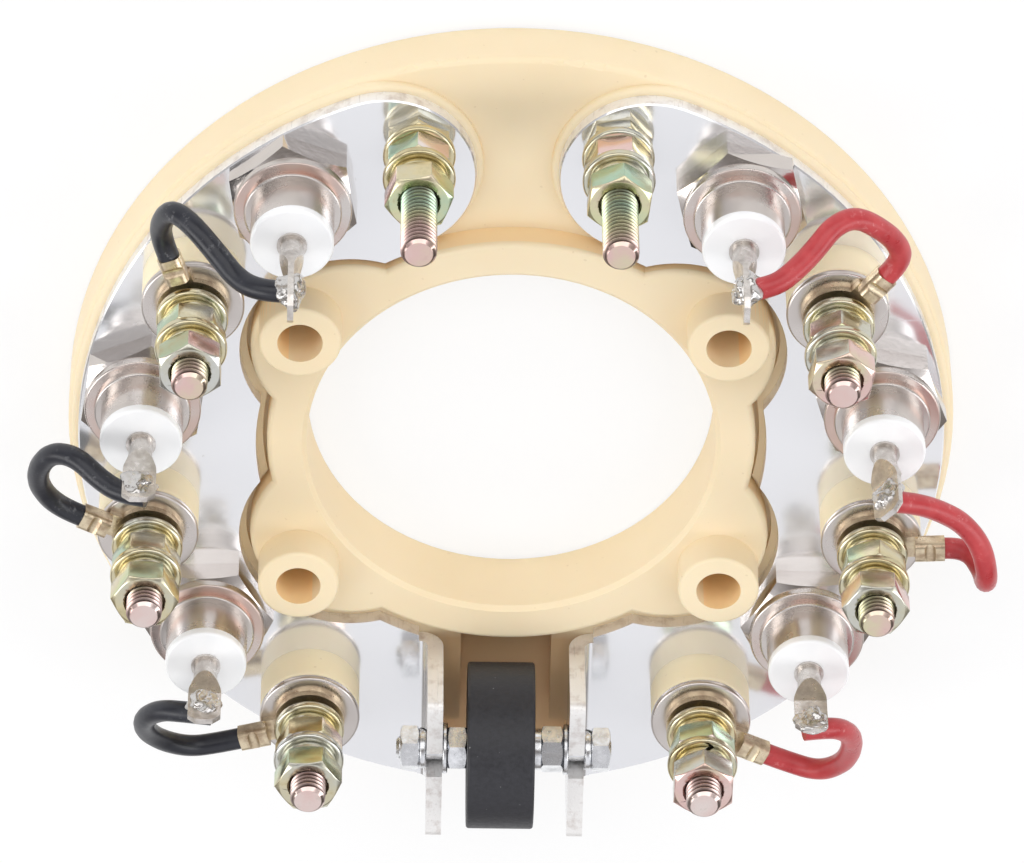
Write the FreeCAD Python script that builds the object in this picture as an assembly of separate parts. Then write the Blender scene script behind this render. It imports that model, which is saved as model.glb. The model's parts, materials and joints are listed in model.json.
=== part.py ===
import FreeCAD, Part
import math
import os

# A rectifier module for the rotor of a brushless generator, in millimetres.
# A moulded ring carries two half-ring heat sink plates with three stud diodes on each.
# Six insulated bolts take the phase leads, two bare bolts give the direct current,
# and a disc varistor bridges the two plates at the foot of the ring.
# The ring lies on its back: the axis is Z, and its back face is at Z = 0.

# Moulded ring
bore_radius = 34.6
bore_chamfer = 0.8
ring_floor = 9.0
ring_edge_round = 1.2
collar_wall = 6.7
collar_rise = 5.1
collar_edge_round = 1.0
lobe_radius = 17.0
lobe_inset = 8.1
lobe_angle = 35.3
boss_beyond_lobe = 10.6
boss_radius = 6.9
boss_rise = 6.7
boss_hole_radius = 3.8
boss_edge_round = 0.6
pad_height = 1.4
pad_margin = 1.2
pad_edge_round = 0.9
varistor_pocket_half_width = 7.8
varistor_pocket_floor = 4.5
varistor_notch_inset = 13.5

# Heat sink plates
plate_thickness = 2.7
plate_edge_inset = 1.8
plate_edge_chamfer = 0.25
plate_collar_gap = 1.9
plate_shift = 0.9
plate_end_angle = 22.0
tab_inner_x = 10.8
tab_rise = 18.1
tab_from_collar = 1.3
tab_from_edge = 0.05
tab_corner = 1.6
tab_bend = 1.5
tab_slot_width = 5.0

# Stations on the bolt circle, counted down each side from the first diode
diode_stations = (0, 2, 4)
bolt_stations = (1, 3, 5)
station_from_lobe = 12.7
station_inset = 10.3
first_station = 53.85
station_pitch = 22.3
dc_station = 74.9

# Stud diodes
diode_hex = 19.6
diode_hex_height = 4.5
diode_flange_radius = 9.8
diode_flange_height = 1.7
diode_rim_radius = 8.1
diode_rim_height = 1.0
diode_can_radius = 6.9
diode_can_height = 7.0
diode_stud_radius = 4.0
diode_stud_end = 0.6
diode_stud_chamfer = 0.7
diode_edge_round = 0.4
insulator_height = 1.6
insulator_round = 0.5
post_radius = 2.0
post_collar_radius = 2.5
post_collar_height = 0.5
post_length = 3.4
lug_taper = 4.6
lug_taper_lap = 1.2
lug_width = 5.6
lug_corner = 1.3
lug_thickness = 1.0
lug_hole_radius = 1.2

# Insulating bushes, terminals and bolt hardware
bush_radius = 8.5
bush_height = 7.1
spigot_radius = 5.8
terminal_ring_radius = 6.0
terminal_thickness = 1.2
barrel_start = 7.3
barrel_reach = 12.28
barrel_width = 3.9
barrel_height = 3.6
barrel_round = 1.1
barrel_lap = 0.5
crimp_depth = 0.5
crimp_radius = 1.1
neck_width = 4.2
m6_radius = 3.0
m6_flats = 10.0
m6_nut_height = 5.0
m6_thin_nut_height = 3.0
m6_head_height = 4.0
flat_washer_radius = 6.0
flat_washer_thickness = 1.6
spring_washer_radius = 4.8
spring_washer_thickness = 1.6
large_washer_radius = 8.6
large_washer_thickness = 1.4
washer_edge_round = 0.5
spring_edge_round = 0.45
split_gap = 0.9
split_slant = 0.5
ac_bolt_tip = 44.5
dc_bolt_tip = 45.4
bolt_end_chamfer = 0.75
bolt_head_recess = 1.0
bolt_head_lap = 0.5
corner_inscribed = 0.96
corner_reach = 1.02
countersink = 0.16
m8_nut_flats = 13.0
m8_nut_height = 4.6
m8_washer_radius = 8.0
m8_washer_thickness = 1.6
m8_nut_recess = 1.2
m8_pocket_radius = 9.4

# Disc varistor and its small hardware
varistor_radius = 14.3
varistor_left_x = -6.6
varistor_right_x = 4.9
varistor_from_tab_end = 16.0
varistor_below_tab = 4.9
varistor_body_rise = 0.5
varistor_body_back = 0.35
varistor_round = 0.5
varistor_spacer_radius = 3.6
varistor_spacer_thickness = 1.2
m4_radius = 2.0
m4_flats = 7.0
m4_nut_height = 3.2
m4_washer_radius = 4.4
m4_washer_thickness = 0.9
m4_spring_radius = 3.5
m4_spring_thickness = 1.3
m4_end_left = -18.7
m4_end_right = 18.2
m4_edge_round = 0.3
m4_end_chamfer = 0.5
m4_split_turn = 70.0
m4_nut_turns = (20.0, 5.0, 12.0)

# Fits; the lap is how far fused and cutting shapes reach past each other
thread_clearance = 0.05
bolt_clearance = 0.3
spigot_clearance = 0.2
lap = 1.0
hex_clearance = 0.2
stud_clearance = 0.25

# Leads, each a tinned core in round insulation
lead_radius = 1.85
core_radius = 0.95
core_tail = 0.6

# Sizes that follow from the others
collar_radius = bore_radius + collar_wall
collar_top = ring_floor + collar_rise
lobe_distance = collar_radius - lobe_inset
boss_distance = lobe_distance + boss_beyond_lobe
boss_top = collar_top + boss_rise
station_radius = lobe_distance + lobe_radius + station_from_lobe
plate_radius = station_radius + station_inset
ring_radius = plate_radius + plate_edge_inset
pad_top = ring_floor + pad_height
plate_top = pad_top + plate_thickness
tab_near_y = collar_radius + tab_from_collar
tab_outer_x = tab_inner_x + plate_thickness
tab_reach = tab_outer_x + tab_bend
tab_far_y = math.sqrt(plate_radius ** 2 - tab_reach ** 2) - tab_from_edge
tab_top = plate_top + tab_rise
varistor_y = varistor_from_tab_end - tab_far_y
varistor_z = tab_top - varistor_below_tab
bush_top = plate_top + bush_height
terminal_z = bush_top + large_washer_thickness
barrel_axis_z = terminal_z + barrel_height / 2
case_top = plate_top + diode_hex_height + diode_flange_height + diode_rim_height + diode_can_height
insulator_top = case_top + insulator_height

# Each diode: side, station, turn of its hexagon, way its solder lug faces,
# and the heights of the lug's hole and tip above the insulator
diodes = {
    "1": (-1, 0, 39.0, 180.0, 13.3, 19.3),
    "2": (-1, 2, 22.6, -90.0, 11.5, 15.7),
    "3": (-1, 4, 2.0, -90.0, 10.5, 15.5),
    "4": (1, 0, 44.0, 0.0, 11.1, 18.3),
    "5": (1, 2, 49.0, -45.0, 12.1, 17.3),
    "6": (1, 4, 59.0, -90.0, 12.7, 15.9),
}

# Each phase bolt: side, station, way its terminal points, turns of its lower and upper nuts,
# turns of its lower and upper spring washers' splits
phase_bolts = {
    "1": (-1, 1, 108.6, 51.0, 32.0, 250.0, 285.0),
    "2": (-1, 3, 155.0, 57.0, 57.0, 300.0, 262.0),
    "3": (-1, 5, 194.9, 7.0, 5.0, 240.0, 275.0),
    "4": (1, 1, 51.8, 30.0, 20.0, 268.0, 247.0),
    "5": (1, 3, 2.8, 22.0, 58.0, 255.0, 291.0),
    "6": (1, 5, -24.2, 14.0, 30.0, 280.0, 80.0),
}

# Each output bolt: side, turns of its three nuts from the plate up, turn of its spring washer's split
output_bolts = {
    "left": (-1, (92.0, 92.0, 70.0), 270.0),
    "right": (1, (70.0, 68.0, 84.0), 245.0),
}

# Each lead: its first points, from the hole of its lug, and its last points, from the mouth of its barrel
lead_routes = {
    "1": ([(-0.75, 0.01, 0.0), (-4.7, -0.19, -0.4), (-8.7, -0.19, -3.4), (-12.3, 3.21, -6.3),
           (-16.3, 6.81, -9.2)],
          [(1.02, 13.65, 6.6), (-0.68, 10.35, 3.8), (-1.48, 4.35, 0.0), (0.0, 0.02, 0.0)]),
    "2": ([(1.18, -2.46, 0.0), (-2.82, -2.66, -1.1), (-6.52, -1.71, -3.5), (-10.52, 0.79, -6.5)],
          [(-4.2, 18.91, 7.9), (-6.8, 14.21, 5.4), (-7.1, 8.01, 2.4), (-3.9, 1.81, 0.0),
           (-0.03, 0.01, 0.0)]),
    "3": ([(1.2, -2.41, 0.0), (-3.1, -2.41, -0.7), (-7.5, -3.81, -3.0), (-10.4, -8.01, -6.2)],
          [(-16.28, 6.7, 6.4), (-13.48, 1.7, 3.0), (-8.88, -1.3, 0.8), (-4.48, -1.2, 0.0),
           (-0.03, 0.0, 0.0)]),
    "4": ([(0.8, 0.01, 0.0), (4.6, 0.51, -0.2), (8.5, 2.61, -2.8), (11.5, 4.61, -5.6),
           (14.3, 7.41, -8.0)],
          [(-6.2, 16.04, 6.4), (-2.2, 12.64, 4.4), (1.2, 8.04, 2.0), (2.48, 3.16, 0.0),
           (0.01, 0.02, 0.0)]),
    "5": ([(1.07, -1.07, 0.0), (4.72, -2.41, -1.4), (8.92, -5.21, -3.3), (13.32, -8.91, -4.8),
           (16.52, -13.91, -5.2)],
          [(6.36, 4.2, 12.0), (6.56, -0.4, 9.6), (6.26, -1.0, 4.8), (3.83, 0.19, 0.0),
           (0.03, 0.0, 0.0)]),
    "6": ([(-1.2, -2.41, 0.0), (2.3, -2.51, -0.8), (5.5, -4.51, -3.2), (7.5, -8.61, -6.4)],
          [(14.24, 7.77, 8.6), (13.14, 2.17, 5.2), (9.34, -2.03, 2.2), (4.04, -1.83, 0.0),
           (0.02, -0.01, 0.0)]),
}


def vector(x, y, z):
    return FreeCAD.Vector(x, y, z)


def station(side, angle):
    """The X and Y of a place on the bolt circle, mirrored on the left side."""
    a = math.radians(angle)
    return side * station_radius * math.cos(a), station_radius * math.sin(a)


def numbered_station(side, number):
    return station(side, first_station - station_pitch * number)


def disc(radius, bottom, top, x=0.0, y=0.0):
    return Part.makeCylinder(radius, top - bottom, vector(x, y, bottom))


def washer(outer, inner, thickness, edge_round):
    """A stamped washer at the origin, its outer edges rounded."""
    ring = disc(outer, 0, thickness)
    rims = flat_edges(ring, 0) + flat_edges(ring, thickness)
    return ring.makeFillet(edge_round, rims).cut(disc(inner, 0, thickness))


def hexagon(across_flats, bottom, top, x=0.0, y=0.0, turn=0.0):
    """A hexagonal prism; the turn is the angle of one corner."""
    reach = across_flats / 2 / math.cos(math.pi / 6)
    corners = []
    for k in range(7):
        a = math.radians(turn + 60 * k)
        corners.append(vector(x + reach * math.cos(a), y + reach * math.sin(a), bottom))
    return Part.Face(Part.makePolygon(corners)).extrude(vector(0, 0, top - bottom))


def turned(points):
    """A solid turned about Z from its outline as radius and height pairs."""
    corners = [vector(r, 0, z) for r, z in points]
    face = Part.Face(Part.makePolygon(corners + corners[:1]))
    return face.revolve(vector(0, 0, 0), vector(0, 0, 1), 360)


def chamfered_hexagon(across_flats, height, turn, both_ends=True):
    """A hexagonal block whose corners are turned off at 30 degrees, on one end or on both."""
    inscribed = corner_inscribed * across_flats / 2
    reach = corner_reach * across_flats / 2 / math.cos(math.pi / 6)
    drop = (reach - inscribed) * math.tan(math.radians(30))
    outline = [(0, height), (inscribed, height), (reach, height - drop)]
    if both_ends:
        outline += [(reach, drop), (inscribed, 0), (0, 0)]
    else:
        outline += [(reach, 0), (0, 0)]
    return hexagon(across_flats, 0, height, turn=turn).common(turned(outline))


def nut(across_flats, height, thread_radius, turn):
    """A hexagonal nut with its bore countersunk at both ends; its thread is left plain."""
    bore = thread_radius + thread_clearance
    sink = countersink * thread_radius
    hole = turned([(0, 0), (bore + sink, 0), (bore, sink), (bore, height - sink),
                   (bore + sink, height), (0, height)])
    return chamfered_hexagon(across_flats, height, turn).cut(hole)


def spring_washer(outer, inner, thickness, turn):
    """A washer with a slanting split."""
    ring = washer(outer, inner, thickness, spring_edge_round)
    half = split_gap / 2
    slant = split_slant * thickness
    cut = Part.Face(Part.makePolygon([
        vector(0, -half - slant, 0), vector(0, half - slant, 0), vector(0, half + slant, thickness),
        vector(0, -half + slant, thickness), vector(0, -half - slant, 0)])).extrude(vector(outer + lap, 0, 0))
    ring = ring.cut(cut)
    ring.rotate(vector(0, 0, 0), vector(0, 0, 1), turn)
    return ring


def bolt(tip, x, y):
    """A hexagon bolt whose head lies in the back of the ring; its thread is left plain."""
    head_top = bolt_head_recess + m6_head_height
    head = chamfered_hexagon(m6_flats, m6_head_height, 0)
    head.translate(vector(0, 0, bolt_head_recess))
    start = head_top - bolt_head_lap
    shank = turned([(0, start), (m6_radius, start), (m6_radius, tip - bolt_end_chamfer),
                    (m6_radius - bolt_end_chamfer, tip), (0, tip)])
    solid = head.fuse(shank).removeSplitter()
    solid.translate(vector(x, y, 0))
    return solid


def placed(shape, x, y, z):
    moved = shape.copy()
    moved.translate(vector(x, y, z))
    return moved


def mirrored(shape):
    return shape.mirror(vector(0, 0, 0), vector(1, 0, 0))


def flat_edges(shape, height, least_radius=0.0):
    """The edges that lie at one height, outside a given radius from the axis."""
    found = []
    for edge in shape.Edges:
        box = edge.BoundBox
        middle = edge.valueAt((edge.FirstParameter + edge.LastParameter) / 2)
        level = abs(box.ZMin - height) < 1e-4 and abs(box.ZMax - height) < 1e-4
        if level and math.hypot(middle.x, middle.y) > least_radius:
            found.append(edge)
    return found


def curved(edges):
    return [edge for edge in edges if edge.Curve.TypeId == "Part::GeomCircle"]


def scalloped_collar(growth, shift, bottom, top):
    """The round collar with its four lobes, grown and shifted along Y."""
    shape = disc(collar_radius + growth, bottom, top, 0, shift)
    for quadrant in (lobe_angle, 180 - lobe_angle, 180 + lobe_angle, -lobe_angle):
        a = math.radians(quadrant)
        x = lobe_distance * math.cos(a)
        y = lobe_distance * math.sin(a) + shift
        shape = shape.fuse(disc(lobe_radius + growth, bottom, top, x, y))
    return shape.removeSplitter()


def middle_radius():
    """The radius half way across the plates."""
    return (plate_radius + collar_radius + plate_collar_gap) / 2


def outer_rim(shape, top):
    """The round edges of a half ring's top, without those along the collar."""
    return curved(flat_edges(shape, top, middle_radius()))


def half_ring(margin, shift, inner_x, bottom, top):
    """A half ring with a full-round upper end, on the left side, grown by a margin."""
    end_radius = plate_radius - middle_radius()
    a = math.radians(90 + plate_end_angle)
    end_x = middle_radius() * math.cos(a)
    end_y = middle_radius() * math.sin(a)
    far = 2 * ring_radius
    corners = [(0, 0), (far * math.cos(a), far * math.sin(a)), (-far, far), (-far, -far), (-inner_x, -far),
               (-inner_x, 0), (0, 0)]
    wedge = Part.Face(Part.makePolygon([vector(x, y, bottom) for x, y in corners]))
    shape = disc(plate_radius + margin, bottom, top).common(wedge.extrude(vector(0, 0, top - bottom)))
    shape = shape.fuse(disc(end_radius + margin, bottom, top, end_x, end_y)).removeSplitter()
    return shape.cut(scalloped_collar(plate_collar_gap - margin, shift, bottom, top)).removeSplitter()


def make_hub_ring():
    base = disc(ring_radius, 0, ring_floor)
    base = base.makeFillet(ring_edge_round, flat_edges(base, ring_floor))
    pad = half_ring(pad_margin, 0, varistor_pocket_half_width, ring_floor - lap, pad_top)
    pad = pad.makeFillet(pad_edge_round, outer_rim(pad, pad_top))
    base = base.fuse(pad).fuse(mirrored(pad))
    notch_y = ring_radius - varistor_notch_inset
    pocket = Part.makeBox(2 * varistor_pocket_half_width, notch_y + lap, collar_top,
                          vector(-varistor_pocket_half_width, -notch_y - lap, varistor_pocket_floor))
    notch = Part.makeBox(2 * tab_inner_x, ring_radius, collar_top,
                         vector(-tab_inner_x, -notch_y - ring_radius, varistor_pocket_floor))
    base = base.cut(pocket).cut(notch)
    collar = scalloped_collar(0, 0, ring_floor - lap, collar_top)
    collar = collar.fuse(disc(collar_radius, varistor_pocket_floor, ring_floor))
    collar = collar.makeFillet(collar_edge_round, flat_edges(collar, collar_top))
    hub = base.fuse(collar)
    boss_a = math.radians(lobe_angle)
    for sx in (-1, 1):
        for sy in (-1, 1):
            x = sx * boss_distance * math.cos(boss_a)
            y = sy * boss_distance * math.sin(boss_a)
            boss = disc(boss_radius, ring_floor, boss_top, x, y)
            boss = boss.makeFillet(boss_edge_round, flat_edges(boss, boss_top))
            hub = hub.fuse(boss).cut(disc(boss_hole_radius, -lap, boss_top + lap, x, y))
    mouth = bore_radius + bore_chamfer
    bore = turned([(0, -lap), (bore_radius, -lap), (bore_radius, collar_top - bore_chamfer),
                   (mouth, collar_top), (mouth, collar_top + lap), (0, collar_top + lap)])
    hub = hub.cut(bore)
    for side in (-1, 1):
        for number in diode_stations:
            x, y = numbered_station(side, number)
            hub = hub.cut(disc(diode_stud_radius + stud_clearance, 0, plate_top, x, y))
            seat = m8_nut_recess + m8_nut_height + m8_washer_thickness
            hub = hub.cut(disc(m8_pocket_radius, -lap, seat, x, y))
        bolts = [numbered_station(side, number) for number in bolt_stations] + [station(side, dc_station)]
        for x, y in bolts:
            hub = hub.cut(disc(m6_radius + bolt_clearance, 0, plate_top, x, y))
            hub = hub.cut(hexagon(m6_flats + hex_clearance, -lap, bolt_head_recess + m6_head_height, x, y))
    return hub.removeSplitter()


def make_tab():
    """The bent-up foot of the left plate, drawn as its end view and extruded along Y."""
    outside = tab_bend + plate_thickness
    centre = vector(-tab_reach, 0, plate_top + tab_bend)
    half = math.sin(math.radians(45))

    def on_arc(radius):
        return centre + vector(radius * half, 0, -radius * half)

    bottom_out = vector(-tab_reach, 0, pad_top)
    side_out = vector(-tab_inner_x, 0, plate_top + tab_bend)
    top_out = vector(-tab_inner_x, 0, tab_top)
    top_in = vector(-tab_outer_x, 0, tab_top)
    side_in = vector(-tab_outer_x, 0, plate_top + tab_bend)
    bottom_in = vector(-tab_reach, 0, plate_top)
    profile = Part.Wire([
        Part.Arc(bottom_out, on_arc(outside), side_out).toShape(),
        Part.makeLine(side_out, top_out), Part.makeLine(top_out, top_in), Part.makeLine(top_in, side_in),
        Part.Arc(side_in, on_arc(tab_bend), bottom_in).toShape(),
        Part.makeLine(bottom_in, bottom_out)])
    tab = Part.Face(profile).extrude(vector(0, tab_near_y - tab_far_y, 0))
    tab.translate(vector(0, -tab_near_y, 0))
    corners = []
    for edge in tab.Edges:
        box = edge.BoundBox
        if abs(box.ZMin - tab_top) < 1e-4 and box.YLength < 1e-4:
            corners.append(edge)
    tab = tab.makeFillet(tab_corner, corners)
    slot_half = tab_slot_width / 2
    slot_depth = 2 * plate_thickness
    slot = Part.makeBox(slot_depth, tab_slot_width, tab_top,
                        vector(-tab_reach, varistor_y - slot_half, varistor_z))
    slot = slot.fuse(Part.makeCylinder(slot_half, slot_depth, vector(-tab_reach, varistor_y, varistor_z),
                                       vector(1, 0, 0)))
    return tab.cut(slot)


def make_plate(side):
    """A heat sink plate, its foot bent up into the tab that holds the varistor."""
    plate = half_ring(0, -plate_shift, tab_reach, pad_top, plate_top)
    plate = plate.makeChamfer(plate_edge_chamfer, outer_rim(plate, plate_top)).fuse(make_tab())
    for number in diode_stations:
        x, y = numbered_station(-1, number)
        plate = plate.cut(disc(diode_stud_radius + stud_clearance, pad_top, plate_top, x, y))
    for number in bolt_stations:
        x, y = numbered_station(-1, number)
        plate = plate.cut(disc(spigot_radius + spigot_clearance, pad_top, plate_top, x, y))
    x, y = station(-1, dc_station)
    plate = plate.cut(disc(m6_radius + bolt_clearance, pad_top, plate_top, x, y)).removeSplitter()
    return plate if side < 0 else mirrored(plate)


def make_diode_case(turn):
    """The hexagon base with its stud, the stepped flange and the can, at the origin."""
    hex_top = plate_top + diode_hex_height
    flange_top = hex_top + diode_flange_height
    rim_top = flange_top + diode_rim_height
    base = chamfered_hexagon(diode_hex, diode_hex_height, turn, both_ends=False)
    base.translate(vector(0, 0, plate_top))
    stud = turned([(0, diode_stud_end), (diode_stud_radius - diode_stud_chamfer, diode_stud_end),
                   (diode_stud_radius, diode_stud_end + diode_stud_chamfer),
                   (diode_stud_radius, plate_top + lap), (0, plate_top + lap)])
    flange = disc(diode_flange_radius, hex_top, flange_top)
    flange = flange.makeFillet(diode_edge_round, flat_edges(flange, hex_top) + flat_edges(flange, flange_top))
    flange = flange.fuse(disc(diode_flange_radius - lap, plate_top + lap, flange_top))
    rim = disc(diode_rim_radius, flange_top - lap, rim_top)
    rim = rim.makeFillet(diode_edge_round, flat_edges(rim, rim_top))
    can = disc(diode_can_radius, rim_top - lap, case_top)
    return base.fuse(stud).fuse(flange).fuse(rim).fuse(can).removeSplitter()


def make_insulator():
    body = disc(diode_can_radius, case_top, insulator_top)
    body = body.makeFillet(insulator_round, flat_edges(body, insulator_top))
    return body.cut(disc(post_radius, case_top, insulator_top))


def make_diode_terminal(facing, hole_height, tip):
    """The post and its solder lug at the origin; the lug's hole runs along the facing direction."""
    collar = disc(post_collar_radius, insulator_top, insulator_top + post_collar_height)
    taper_bottom = insulator_top + post_collar_height + post_length
    taper_top = taper_bottom + lug_taper
    top = insulator_top + tip
    post = disc(post_radius, case_top, taper_bottom)
    half_t = lug_thickness / 2
    half_w = lug_width / 2
    side_view = Part.Face(Part.makePolygon([
        vector(-post_radius, -half_w, taper_bottom), vector(post_radius, -half_w, taper_bottom),
        vector(half_t, -half_w, taper_top), vector(half_t, -half_w, top), vector(-half_t, -half_w, top),
        vector(-half_t, -half_w, taper_top), vector(-post_radius, -half_w, taper_bottom)]))
    blade = side_view.extrude(vector(0, lug_width, 0))
    front_view = turned([(0, taper_bottom), (post_radius, taper_bottom), (half_w, taper_top - lug_taper_lap),
                         (half_w, top - lug_corner), (half_w - lug_corner, top), (0, top)])
    blade = blade.common(front_view)
    hole = Part.makeCylinder(lug_hole_radius, lug_width, vector(-half_w, 0, insulator_top + hole_height),
                             vector(1, 0, 0))
    terminal = collar.fuse(post).fuse(blade).cut(hole).removeSplitter()
    terminal.rotate(vector(0, 0, 0), vector(0, 0, 1), facing)
    return terminal


def make_bush():
    """An insulating bush; its spigot keeps the phase bolt clear of the plate."""
    bush = disc(bush_radius, plate_top, bush_top)
    bush = bush.makeFillet(boss_edge_round, flat_edges(bush, bush_top))
    return bush.fuse(disc(spigot_radius, pad_top, plate_top)).cut(disc(m6_radius + bolt_clearance, 0, bush_top))


def make_ring_terminal(direction):
    """A crimp terminal: a flat ring, a neck and the barrel that grips the lead, pressed in at its middle."""
    ring = disc(terminal_ring_radius, terminal_z, terminal_z + terminal_thickness)
    neck = Part.makeBox(barrel_start + barrel_lap, neck_width, terminal_thickness,
                        vector(0, -neck_width / 2, terminal_z))
    barrel = Part.makeBox(barrel_reach - barrel_start, barrel_width, barrel_height,
                          vector(barrel_start, -barrel_width / 2, terminal_z))
    long_edges = [e for e in barrel.Edges if e.BoundBox.XLength > e.BoundBox.YLength + e.BoundBox.ZLength]
    barrel = barrel.makeFillet(barrel_round, long_edges)
    crimp = Part.makeCylinder(crimp_radius, barrel_width,
                              vector((barrel_start + barrel_reach) / 2, -barrel_width / 2,
                                     terminal_z + barrel_height + crimp_radius - crimp_depth), vector(0, 1, 0))
    terminal = ring.fuse(neck).fuse(barrel.cut(crimp)).cut(disc(m6_radius + bolt_clearance, 0, tab_top))
    terminal = terminal.removeSplitter()
    terminal.rotate(vector(0, 0, 0), vector(0, 0, 1), direction)
    return terminal


def make_tube(points, radius, name):
    """A round tube along straight runs joined by tangent arcs, each as large as its runs allow."""
    corners = [vector(*p) for p in points]
    edges = []
    radii = []
    here = corners[0]
    for before, corner, after in zip(corners, corners[1:], corners[2:]):
        run_in = corner - before
        run_out = after - corner
        leg = 0.45 * min(run_in.Length, run_out.Length)
        way_in = run_in.normalize()
        way_out = run_out.normalize()
        start = corner - way_in * leg
        end = corner + way_out * leg
        half_turn = way_in.getAngle(way_out) / 2
        arc_radius = leg / math.tan(half_turn)
        inward = (way_out - way_in).normalize()
        middle = corner + inward * (arc_radius / math.cos(half_turn) - arc_radius)
        edges.append(Part.LineSegment(here, start).toShape())
        edges.append(Part.Arc(start, middle, end).toShape())
        radii.append(round(arc_radius, 1))
        here = end
    edges.append(Part.LineSegment(here, corners[-1]).toShape())
    path = Part.Wire(edges)
    first = (corners[1] - corners[0]).normalize()
    section = Part.Wire([Part.makeCircle(radius, corners[0], first)])
    tube = path.makePipeShell([section], True, False)
    expected = math.pi * radius ** 2 * path.Length
    ratio = round(tube.Volume / expected, 4)
    print(name, "length", round(path.Length, 1), "radii", radii, "volume ratio", ratio)
    return tube


def lead_route(number):
    """The points of a lead, the first from its lug's hole and the last from its barrel's mouth."""
    near_lug, near_barrel = lead_routes[number]
    side, place, _, _, hole_height, _ = diodes[number]
    x, y = numbered_station(side, place)
    lug = vector(x, y, insulator_top + hole_height)
    side, place, direction = phase_bolts[number][:3]
    x, y = numbered_station(side, place)
    a = math.radians(direction)
    mouth = vector(x + barrel_reach * math.cos(a), y + barrel_reach * math.sin(a), barrel_axis_z)
    return [lug + vector(*p) for p in near_lug] + [mouth + vector(*p) for p in near_barrel]


def make_lead(number):
    """Insulation along the route, with the bare core hooked through the hole of the diode's lug."""
    side, place, _, facing, hole_height, _ = diodes[number]
    x, y = numbered_station(side, place)
    tube = make_tube(lead_route(number), lead_radius, "lead " + number)
    a = math.radians(facing)
    out = vector(math.cos(a), math.sin(a), 0)
    inner = lug_thickness / 2 + lead_radius
    outer = lug_thickness / 2 + core_tail
    hole = vector(x, y, insulator_top + hole_height)
    core = Part.makeCylinder(core_radius, inner + outer, hole + out * inner, out * -1)
    return tube.fuse(core).removeSplitter()


def make_varistor():
    body = Part.makeCylinder(varistor_radius, varistor_right_x - varistor_left_x,
                             vector(varistor_left_x, varistor_y + varistor_body_back,
                                    varistor_z - varistor_body_rise), vector(1, 0, 0))
    rims = [e for e in body.Edges if e.BoundBox.XLength < 1e-4]
    return body.makeFillet(varistor_round, rims)


def along_x(shape, x):
    """Lay a piece made about Z along the varistor's axis, its base at the given X."""
    laid = shape.copy()
    laid.rotate(vector(0, 0, 0), vector(0, 1, 0), 90)
    laid.translate(vector(x, varistor_y, varistor_z))
    return laid


def make_varistor_hardware():
    """The studs of the varistor and the nuts and washers that clamp each tab, by node."""
    bore = m4_radius + thread_clearance
    end = m4_end_chamfer
    left_length = varistor_left_x - m4_end_left
    left_stud = turned([(0, 0), (m4_radius - end, 0), (m4_radius, end), (m4_radius, left_length),
                        (0, left_length)])
    spacer_end = varistor_right_x + varistor_spacer_thickness
    right_length = m4_end_right - varistor_right_x
    right_stud = turned([(0, 0), (varistor_spacer_radius, 0),
                         (varistor_spacer_radius, varistor_spacer_thickness),
                         (m4_radius, varistor_spacer_thickness), (m4_radius, right_length - end),
                         (m4_radius - end, right_length), (0, right_length)])
    flat = washer(m4_washer_radius, bore, m4_washer_thickness, m4_edge_round)
    spring = spring_washer(m4_spring_radius, bore, m4_spring_thickness, m4_split_turn)
    inner_left = -tab_inner_x + m4_washer_thickness
    inner_right = tab_inner_x - m4_washer_thickness
    flats = [along_x(flat, -tab_inner_x), along_x(flat, inner_right)]
    springs = [along_x(spring, -tab_outer_x - m4_spring_thickness), along_x(spring, tab_outer_x)]
    left_turn, right_turn, outer_turn = m4_nut_turns
    left_nut = nut(m4_flats, varistor_left_x - inner_left, m4_radius, left_turn)
    right_nut = nut(m4_flats, inner_right - spacer_end, m4_radius, right_turn)
    outer_nut = nut(m4_flats, m4_nut_height, m4_radius, outer_turn)
    nuts = [along_x(left_nut, inner_left), along_x(right_nut, spacer_end),
            along_x(outer_nut, -tab_outer_x - m4_spring_thickness - m4_nut_height),
            along_x(outer_nut, tab_outer_x + m4_spring_thickness)]
    return {
        "varistor_stud_left": [along_x(left_stud, m4_end_left)],
        "varistor_stud_right": [along_x(right_stud, varistor_right_x)],
        "varistor_flat_washers": flats,
        "varistor_spring_washers": springs,
        "varistor_nuts": nuts,
    }


def stack(groups, kinds, z, x, y, nut_turns, split_turns):
    """Pile hardware on a bolt from a given height, adding each piece to its group."""
    nut_turns = list(nut_turns)
    split_turns = list(split_turns)
    bore = m6_radius + thread_clearance
    for kind in kinds:
        if kind == "nuts":
            height = m6_nut_height
            piece = nut(m6_flats, height, m6_radius, nut_turns.pop(0))
        elif kind == "thin_nuts":
            height = m6_thin_nut_height
            piece = nut(m6_flats, height, m6_radius, nut_turns.pop(0))
        elif kind == "flat_washers":
            height = flat_washer_thickness
            piece = washer(flat_washer_radius, bore, height, washer_edge_round)
        else:
            height = spring_washer_thickness
            piece = spring_washer(spring_washer_radius, bore, height, split_turns.pop(0))
        groups.setdefault(kind, []).append(placed(piece, x, y, z))
        z += height


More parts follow.
